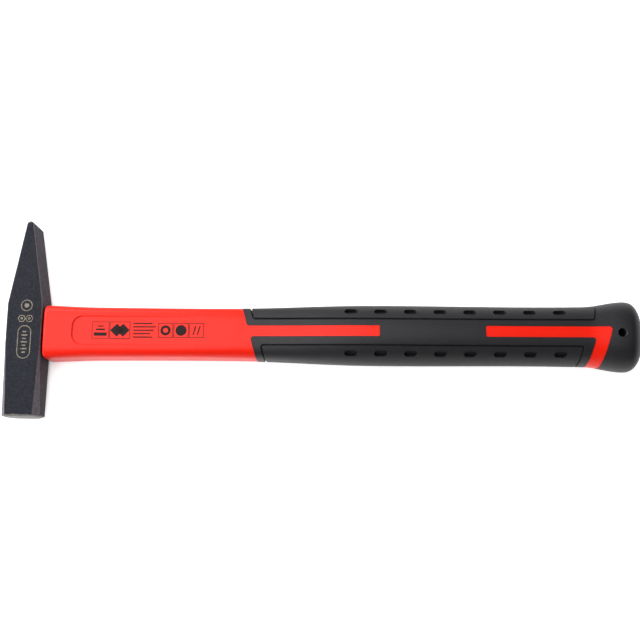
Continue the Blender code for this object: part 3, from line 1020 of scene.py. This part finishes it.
def build_head():
    """Forging with soft hollows in its flanks and an eye narrowed at its middle."""
    head, finish = settings("head", "finish")
    rings = []
    for y, width, thickness, cut_x, cut_z in head_stations(head):
        ring = octagon(width, thickness, cut_x, cut_z, head.edge_softness)
        ground = y <= head.face_bevel or y > HEAD_HIGH.y - head.peen_radius
        depth = 0.0 if ground else head.unevenness
        placed = []
        for point in ring:
            place = Vector((point.x, y, point.y))
            hollow = depth * (0.5 + 0.5 * noise.noise(place / HOLLOW_PITCH))
            inward = Vector((point.x, 0, point.y)).normalized() * hollow
            placed.append(place - inward)
        rings.append(placed)
    piece = new_piece("forged_head", loft(rings))

    cheek = HEAD_HIGH.x - head.poll_flare / 2
    broken = head.eye_chamfer
    stations = [
        (-2 * cheek, -broken * 2),
        (-cheek - broken / 2, -broken * 1.5),
        (-cheek + broken, 0),
        (0, head.eye_waist),
        (cheek - broken, 0),
        (cheek + broken / 2, -broken * 1.5),
        (2 * cheek, -broken * 2),
    ]
    eye = new_piece("cut_eye", oval_loft(stations, *eye_size(head)))
    carve(piece, eye)
    discard(eye)
    return dress(piece, lacquered_steel(head, finish), "head_lacquer", "hammer_head")


def flat_marks(name, solids, frames, height_at, thickness):
    """Thin marks: filled outlines and open frames, laid on a surface of a given height."""
    build = bmesh.new()
    for outline in solids:
        build.faces.new([build.verts.new((x, y, 0)) for x, y in outline])
    for outer, inner in frames:
        wide = [build.verts.new((x, y, 0)) for x, y in outer]
        narrow = [build.verts.new((x, y, 0)) for x, y in inner]
        for index in range(len(wide)):
            following = (index + 1) % len(wide)
            build.faces.new((wide[index], wide[following], narrow[following], narrow[index]))
    raised = bmesh.ops.extrude_face_region(build, geom=build.faces[:])
    top = {item for item in raised["geom"] if isinstance(item, bmesh.types.BMVert)}
    for vertex in build.verts:
        surface = height_at(vertex.co.x, vertex.co.y)
        vertex.co.z = surface + (thickness if vertex in top else -thickness)
    return new_piece(name, build)


def framed(outline_of, line):
    """Outer and inner outlines of a frame; outline_of(grow) draws its middle line grown."""
    return outline_of(line / 2), outline_of(-line / 2)


def build_etching():
    """Ring, twin hexagons and a ticked capsule burnt into the upper side of the head."""
    head, finish = settings("head", "finish")
    line = 0.32 * MM
    solids, frames = [], []
    ring_x, ring_y = 0.8 * MM, AXIS_Y + 11.0 * MM
    frames.append(framed(lambda grow: regular(ring_x, ring_y, 2.3 * MM + grow, 40), line))
    solids.append(regular(ring_x, ring_y, 0.95 * MM, 24))
    for side in (-1, 1):
        x, y = 0.6 * MM + side * 1.6 * MM, AXIS_Y + 5.4 * MM
        frames.append(framed(lambda grow, x=x: regular(x, y, 1.5 * MM + grow, 6), line))
        solids.append(regular(x, y, 0.55 * MM, 6))
    centre_x, centre_y = 0.5 * MM, AXIS_Y - 4.6 * MM

    def capsule(grow):
        width, height = 5.4 * MM + 2 * grow, 13.8 * MM + 2 * grow
        return rectangle(centre_x, centre_y, width, height, width / 2 - 0.02 * MM)

    frames.append(framed(capsule, line))
    for index in range(7):
        y = centre_y + (index - 3) * 1.45 * MM
        wide = 2.6 * MM if index % 2 else 1.5 * MM
        solids.append(rectangle(centre_x, y, wide, 0.5 * MM, 0.1 * MM))
    surface = HEAD_HIGH.z - head.unevenness * 0.35
    piece = flat_marks("etched_marks", solids, frames, lambda x, y: surface, 0.03 * MM)
    return dress(piece, etched_steel(finish), "head_lacquer")


# Core ---------------------------------------------------------------------------------


def build_rod():
    """Oval rod with broken edges at both ends."""
    finish = bpy.context.scene.hammer_finish
    rod = ROD_HIGH - ROD_LOW
    broken = 0.25 * MM
    start, end = ROD_LOW.x, ROD_HIGH.x
    stations = [(start, broken), (start + broken, 0), (end - broken, 0), (end, broken)]
    piece = new_piece("glass_core_rod", oval_loft(stations, rod.y, rod.z))
    return dress(piece, glass_fibre(finish), "fibre_rod", "core_rod")


def build_resin():
    """Potting with a slightly sunken skin at the outer cheek and a lip at the jacket."""
    head, finish = settings("head", "finish")
    rod = ROD_HIGH - ROD_LOW
    gap = 0.12 * MM
    height, thickness = eye_size(head)
    lip_height = RESIN_HIGH.y - RESIN_LOW.y
    lip_grow = (lip_height - height) / 2
    cheek = HEAD_HIGH.x - head.poll_flare / 2
    meniscus = 0.35 * MM
    stations = [
        (RESIN_LOW.x + meniscus, head.eye_wall * 0.5),
        (RESIN_LOW.x + meniscus * 0.5, head.eye_wall * 0.25),
        (RESIN_LOW.x, gap + 0.15 * MM),
        (RESIN_LOW.x + meniscus, gap),
        (0, head.eye_waist + gap),
        (cheek + gap, gap),
        (cheek + gap, -lip_grow + 0.2 * MM),
        (cheek + gap + 0.2 * MM, -lip_grow),
        (RESIN_HIGH.x - 0.1 * MM, -lip_grow),
        (RESIN_HIGH.x, -lip_grow + 0.2 * MM),
    ]
    piece = new_piece("eye_potting", oval_loft(stations, height, thickness))
    passage = [(-REACH, -gap), (REACH, -gap)]
    passage = new_piece("cut_rod", oval_loft(passage, rod.y, rod.z))
    carve(piece, passage)
    discard(passage)
    return dress(piece, potting_resin(finish), "potting_resin", "eye_resin")


# Jacket -------------------------------------------------------------------------------


def panel_floor(form, handle, x):
    """Height of the sunk panel's flat floor, which rises until it meets the neck's side."""
    share = (x - handle.panel_start) / (handle.panel_end - handle.panel_start)
    depth = handle.panel_depth * (1 - 0.85 * max(0.0, min(1.0, share)))
    return form.section(handle.panel_start)[1] - depth


def panel_cutter(form, handle):
    """Shallow tray with a round front end and soft walls."""
    centre = (handle.panel_start + handle.panel_end) / 2
    middle = AXIS_Y + 0.3 * MM
    corner = 4.0 * MM
    rings = []
    for rise, grow in ((0, 0), (0.06, 0.14), (0.25, 0.3), (0.5, 0.42), (1.4, 0.6)):
        width = handle.panel_end - handle.panel_start + 2 * grow * MM
        height = handle.panel_height + 2 * grow * MM
        outline = rectangle(centre, middle, width, height, corner + grow * MM)
        rings.append([(x, y, panel_floor(form, handle, x) + rise * MM) for x, y in outline])
    return loft(rings)


def hole_cutter(form, layout, width, name):
    """Round hole through the butt, with a countersunk rim at both sides."""
    surface = form.section(layout.hole_x)[1]
    rim = 0.25 * MM
    rings = []
    for z, radius in (
        (-REACH, width / 2 + REACH - surface + rim),
        (-surface + rim, width / 2),
        (surface - rim, width / 2),
        (REACH, width / 2 + REACH - surface + rim),
    ):
        rings.append([(x, y, z) for x, y in regular(layout.hole_x, AXIS_Y, radius, 40)])
    return new_piece(name, loft(rings))


def build_jacket():
    """Red jacket: the bare neck with its sunk panels, and ribs that fill the grip's windows."""
    handle, grip, finish = settings("handle", "grip", "finish")
    form, layout = HandleForm(handle), GripLayout(handle, grip)
    skin = form.rings(form.neck_start, grip.rib_recess, handle.neck_round)
    piece = new_piece("moulded_jacket", loft(skin))
    shown = new_piece("keep_shown", prism(layout.windows(0)))
    carve(piece, shown, "INTERSECT")
    core = new_piece("join_core", loft(form.rings(layout.start - REACH, grip.sleeve_wall)))
    carve(piece, core, "UNION")
    upper = new_piece("cut_upper_panel", panel_cutter(form, handle))
    carve(piece, upper)
    mirrored = panel_cutter(form, handle)
    for vertex in mirrored.verts:
        vertex.co.z = -vertex.co.z
    lower = new_piece("cut_lower_panel", mirrored)
    carve(piece, lower)
    rod = ROD_HIGH - ROD_LOW
    gap = 0.15 * MM
    passage = oval_loft([(0, -gap), (ROD_HIGH.x + gap, -gap)], rod.y, rod.z)
    passage = new_piece("cut_rod", passage)
    carve(piece, passage)
    lined = grip.hole_width + 2 * (grip.hole_lining + 0.05 * MM)
    hole = hole_cutter(form, layout, lined, "cut_hole")
    carve(piece, hole)
    discard(shown, core, upper, lower, passage, hole)
    return dress(piece, red_plastic(finish), "red_plastic", "handle_jacket")


def build_print():
    """Plain printed marks on the upper panel: framed signs and five rules."""
    handle, finish = settings("handle", "finish")
    form = HandleForm(handle)
    line = 0.24 * MM
    middle = AXIS_Y + 0.4 * MM
    tall, short = 7.0 * MM, 6.0 * MM
    solids, frames = [], []

    def sign(start, width, height):
        """Framed sign; returns where its middle is along the handle."""
        centre = start + width / 2

        def outline(grow):
            return rectangle(centre, middle, width + 2 * grow, height + 2 * grow, 0.25 * MM)

        frames.append(framed(outline, line))
        return centre

    stack = sign(29.4 * MM, 7.0 * MM, tall)
    for rise, wide, thick in ((1.7, 2.4, 0.5), (0.3, 3.8, 0.7), (-1.7, 5.4, 1.4)):
        solids.append(rectangle(stack, middle + rise * MM, wide * MM, thick * MM, 0.1 * MM))
    lozenge = sign(36.9 * MM, 8.4 * MM, tall)
    for side in (-1, 1):
        solids.append(regular(lozenge + side * 1.3 * MM, middle, 2.8 * MM, 4))
    for row, wide in enumerate((8.0, 9.4, 8.6, 7.2, 8.2)):
        y = middle + (2 - row) * 1.45 * MM
        solids.append(rectangle(46.7 * MM + wide * MM / 2, y, wide * MM, 0.5 * MM, 0.1 * MM))
    drop = sign(57.3 * MM, short, short)
    frames.append(framed(lambda grow: regular(drop, middle, 1.6 * MM + grow, 32), 1.1 * MM))
    disc = sign(63.8 * MM, short, short)
    solids.append(regular(disc, middle, 2.3 * MM, 40))
    strokes = sign(70.3 * MM, short, short)
    for side in (-1, 1):
        x = strokes + side * 0.9 * MM
        stroke = ((-0.75, -1.9), (-0.25, -1.9), (0.75, 1.9), (0.25, 1.9))
        solids.append([(x + across * MM, middle + up * MM) for across, up in stroke])
    piece = flat_marks(
        "panel_print", solids, frames, lambda x, y: panel_floor(form, handle, x), 0.02 * MM
    )
    return dress(piece, printing_ink(finish), "red_plastic")


# Grip ---------------------------------------------------------------------------------


def seam_cutter(form, layout, side):
    """Rounded groove over a pad's seam."""
    radius = layout.grip.seam_width / 2
    return new_piece(f"cut_seam_{side}", tube_along(form, layout.seam(form, side), radius))


def build_sleeve():
    """Black sleeve with windows, pad pockets and the flared butt."""
    handle, grip, finish = settings("handle", "grip", "finish")
    form, layout = HandleForm(handle), GripLayout(handle, grip)
    ahead = layout.start - REACH
    piece = new_piece("grip_rubber", loft(form.rings(ahead, 0)))
    gap = 0.06 * MM
    core = new_piece("cut_core", loft(form.rings(ahead - STATION_PITCH, grip.sleeve_wall - gap)))
    windows = new_piece("cut_windows", prism(layout.windows(gap)))
    carve(piece, core)
    carve(piece, windows)
    radius = grip.hole_width / 2 + grip.hole_lining
    depth = form.section(layout.hole_x)[1] - grip.sleeve_wall / 2
    post = prism([regular(layout.hole_x, AXIS_Y, radius, 40)], -depth, depth)
    post = new_piece("join_hole_lining", post)
    carve(piece, post, "UNION")
    hole = hole_cutter(form, layout, grip.hole_width, "cut_hole")
    carve(piece, hole)
    floor = new_piece(
        "cut_pocket_floor", loft(form.rings(ahead - STATION_PITCH, grip.pad_thickness + gap))
    )
    for side in (1, -1):
        pocket = new_piece("cut_pocket", prism([layout.pad(side, grip.seam_gap)]))
        carve(pocket, floor)
        carve(piece, pocket)
        seam = seam_cutter(form, layout, side)
        carve(piece, seam)
        discard(pocket, seam)
    discard(core, windows, post, hole, floor)
    return dress(piece, rubber("sleeve_rubber", finish.rubber, 0.52), "grip_rubber", "grip_sleeve")


def pit_cutter(form, layout, side):
    """Slots sunk square to the surface, with softened rims, on both sides of a pad."""
    grip = layout.grip
    height = layout.pad_edge + grip.pit_inset
    build = bmesh.new()
    for x in layout.pits:
        angle = form.angle_of(x, side * height)
        for turned in (angle, -angle):
            centre = form.at_angle(x, turned)
            out = form.normal(x, turned)
            along = Vector((1, 0, 0))
            across = out.cross(along).normalized()
            along = across.cross(out).normalized()
            rings = []
            for rise, grow in ((-2.2, 0), (-0.2, 0), (-0.03, 0.08), (0.1, 0.22), (0.9, 1.0)):
                wide = grip.pit_width + 2 * grow * MM
                slot = rectangle(0, 0, grip.pit_length + 2 * grow * MM, wide, wide / 2 - 0.02 * MM)
                lift = centre + out * rise * MM
                rings.append([lift + along * u + across * v for u, v in slot])
            shape_skin(build, rings)
    return new_piece(f"cut_pits_{side}", build)


def build_pads():
    """The two softer pads, each with a row of pits on both sides."""
    handle, grip, finish = settings("handle", "grip", "finish")
    form, layout = HandleForm(handle), GripLayout(handle, grip)
    ahead = layout.start - REACH
    material = rubber("pad_rubber", finish.pad, 0.56)
    underside = new_piece(
        "cut_underside", loft(form.rings(ahead - STATION_PITCH, grip.pad_thickness))
    )
    for label, side in (("upper", 1), ("lower", -1)):
        piece = new_piece(f"soft_pad_{label}", loft(form.rings(ahead, 0)))
        band = new_piece("keep_band", prism([layout.pad(side, 0)]))
        seam = seam_cutter(form, layout, side)
        pits = pit_cutter(form, layout, side)
        carve(piece, band, "INTERSECT")
        carve(piece, underside)
        carve(piece, seam)
        carve(piece, pits)
        discard(band, seam, pits)
        dress(piece, material, "pad_rubber", f"grip_pad_{label}")
    discard(underside)


# Stage --------------------------------------------------------------------------------


def floor_height_and_tilt():
    """The line under the hammer, in the XZ plane, on which it rests when it lies down."""
    points = []
    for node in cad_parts.values():
        points += [(vertex.co.x, vertex.co.z) for vertex in node.data.vertices]
    balance = HEAD_HIGH.x + (HANDLE_END - HEAD_HIGH.x) / 4
    flat, steep = 0.0, -0.1
    for _ in range(40):
        slope = (flat + steep) / 2
        front = min(z - slope * x for x, z in points if x < balance)
        rear = min(z - slope * x for x, z in points if x >= balance)
        if rear < front:
            flat = slope
        else:
            steep = slope
    return min(front, rear) - FLOOR_CLEARANCE, slope


def add_softbox(name, place, target, size, power):
    """Square area light that looks at a target."""
    data = bpy.data.lights.new(name, "AREA")
    data.shape = "SQUARE"
    data.size = size
    data.energy = power
    light = bpy.data.objects.new(name, data)
    light.location = place
    light.rotation_euler = (Vector(target) - Vector(place)).to_track_quat("-Z", "Y").to_euler()
    bpy.context.scene.collection.objects.link(light)


def sines(low, high):
    """Heights of a direction, from 0 to 1, at two elevations in degrees."""
    return math.sin(math.radians(low)), math.sin(math.radians(high))


def studio_world():
    """White walls round a darker ceiling, with a dark screen beyond the butt."""
    world = bpy.data.worlds.new("studio_light")
    world.use_nodes = True
    tree = world.node_tree
    place = add_node(tree, "ShaderNodeTexCoord", (-4, 0)).outputs["Generated"]
    split = add_node(tree, "ShaderNodeSeparateXYZ", (-3, 0), Vector=place)
    across, up = split.outputs["X"], split.outputs["Z"]
    climb = remap(tree, (-2, 0), up, sines(18, 50), (WALL_LIGHT, CEILING_LIGHT), "SMOOTHSTEP")
    screen = remap(tree, (-2, -2), across, (-0.1, 0.35), (1, SCREEN_SHARE), "SMOOTHSTEP")
    above = remap(tree, (-2, -4), up, sines(4, 16), (0, 1), "SMOOTHSTEP")
    shade = mix(tree, (-1, -2), above, 1.0, screen, "FLOAT")
    backdrop = tree.nodes["Background"].inputs
    feed(backdrop["Strength"], calculate(tree, (0, -1), "MULTIPLY", climb, shade))
    backdrop["Color"].default_value = (1, 1, 1, 1)
    return world


def glowing_floor(finish):
    """White ground, lit and glowing, with a painted contact shadow where the hammer nearly touches
    it.
    """
    material, tree, surface = new_material("studio_floor")
    surface["Base Color"].default_value = tone(finish.floor, 1.0)
    surface["Roughness"].default_value = 0.9
    surface["Specular IOR Level"].default_value = 0.1
    surface["Emission Color"].default_value = (1, 1, 1, 1)
    # Painted contact shadow: ambient occlusion takes the floor's glow away near the hammer
    painted_contact_shade = add_node(tree, "ShaderNodeAmbientOcclusion", (-4, -2), Distance=CONTACT_REACH)
    glow = remap(tree, (-2, -2), painted_contact_shade.outputs["AO"], (0.1, 0.4), (0, FLOOR_GLOW))
    feed(surface["Emission Strength"], glow)
    return material


def build_stage():
    """Floor under the lying hammer, world, lights and camera."""
    scene = bpy.context.scene
    height, slope = floor_height_and_tilt()
    build = bmesh.new()
    corners = [(-1, -1), (1, -1), (1, 1), (-1, 1)]
    places = [(x * FLOOR_REACH, y * FLOOR_REACH) for x, y in corners]
    build.faces.new([build.verts.new((x, y, height + slope * x)) for x, y in places])
    floor = new_piece("studio_floor", build)
    floor.data.materials.append(glowing_floor(scene.hammer_finish))
    scene.world = studio_world()
    for softbox in SOFTBOXES:
        add_softbox(*softbox)

    data = bpy.data.cameras.new("camera")
    data.sensor_width = SENSOR_WIDTH
    data.lens = FOCAL_LENGTH
    data.clip_start = 0.01
    data.clip_end = 20.0
    camera = bpy.data.objects.new("camera", data)
    camera.location = CAMERA_PLACE
    camera.rotation_mode = "ZXY"
    camera.rotation_euler = CAMERA_TURN
    scene.collection.objects.link(camera)
    scene.camera = camera
    scene.view_settings.view_transform = "Standard"


# Add-on -------------------------------------------------------------------------------


class HammerOperator:
    """Runs the build function of an operator as one step that can be undone."""

    bl_options = {"REGISTER", "UNDO"}

    def execute(self, context):
        type(self).build()
        return {"FINISHED"}


class HAMMER_OT_head(HammerOperator, bpy.types.Operator):
    """Build the forged head with its eye, bevelled face and peen"""

    bl_idname = "hammer.head"
    bl_label = "Forged Head"
    build = staticmethod(build_head)


class HAMMER_OT_etching(HammerOperator, bpy.types.Operator):
    """Build the marks burnt into the head's upper side"""

    bl_idname = "hammer.etching"
    bl_label = "Etched Marks"
    build = staticmethod(build_etching)


class HAMMER_OT_rod(HammerOperator, bpy.types.Operator):
    """Build the glass-fibre core rod"""

    bl_idname = "hammer.rod"
    bl_label = "Core Rod"
    build = staticmethod(build_rod)


class HAMMER_OT_resin(HammerOperator, bpy.types.Operator):
    """Build the resin that pots the rod in the eye"""

    bl_idname = "hammer.resin"
    bl_label = "Eye Potting"
    build = staticmethod(build_resin)


class HAMMER_OT_jacket(HammerOperator, bpy.types.Operator):
    """Build the red moulded jacket with its sunk panels"""

    bl_idname = "hammer.jacket"
    bl_label = "Moulded Jacket"
    build = staticmethod(build_jacket)


class HAMMER_OT_print(HammerOperator, bpy.types.Operator):
    """Build the printed marks on the upper panel"""

    bl_idname = "hammer.print"
    bl_label = "Panel Print"
    build = staticmethod(build_print)


class HAMMER_OT_sleeve(HammerOperator, bpy.types.Operator):
    """Build the black rubber sleeve with the flared butt"""

    bl_idname = "hammer.sleeve"
    bl_label = "Grip Sleeve"
    build = staticmethod(build_sleeve)


class HAMMER_OT_pads(HammerOperator, bpy.types.Operator):
    """Build the two soft pads with their rows of pits"""

    bl_idname = "hammer.pads"
    bl_label = "Soft Pads"
    build = staticmethod(build_pads)


class HAMMER_OT_stage(HammerOperator, bpy.types.Operator):
    """Set up the floor, the lights and the camera"""

    bl_idname = "hammer.stage"
    bl_label = "Stage"
    build = staticmethod(build_stage)


OPERATORS = (
    HAMMER_OT_stage,
    HAMMER_OT_head,
    HAMMER_OT_etching,
    HAMMER_OT_rod,
    HAMMER_OT_resin,
    HAMMER_OT_jacket,
    HAMMER_OT_print,
    HAMMER_OT_sleeve,
    HAMMER_OT_pads,
)
SETTINGS = {
    "hammer_head": HammerHeadSettings,
    "hammer_handle": HammerHandleSettings,
    "hammer_grip": HammerGripSettings,
    "hammer_finish": HammerFinishSettings,
}


class HAMMER_PT_panel(bpy.types.Panel):
    """Lists the building steps and their settings"""

    bl_idname = "HAMMER_PT_panel"
    bl_label = "Cross-peen Hammer"
    bl_space_type = "VIEW_3D"
    bl_region_type = "UI"
    bl_category = "Hammer"

    def draw(self, context):
        for operator in OPERATORS:
            self.layout.operator(operator.bl_idname)
        for name in SETTINGS:
            group = getattr(context.scene, name)
            box = self.layout.box()
            for key in group.__annotations__:
                box.prop(group, key)


def register():
    for name, group in SETTINGS.items():
        bpy.utils.register_class(group)
        setattr(bpy.types.Scene, name, PointerProperty(type=group))
    for operator in OPERATORS:
        bpy.utils.register_class(operator)
    bpy.utils.register_class(HAMMER_PT_panel)


def unregister():
    bpy.utils.unregister_class(HAMMER_PT_panel)
    for operator in reversed(OPERATORS):
        bpy.utils.unregister_class(operator)
    for name, group in reversed(SETTINGS.items()):
        delattr(bpy.types.Scene, name)
        bpy.utils.unregister_class(group)


def main():
    """Build every piece in turn."""
    register()
    for operator in OPERATORS:
        group, action = operator.bl_idname.split(".")
        getattr(getattr(bpy.ops, group), action)()


if __name__ == "__main__":
    main()
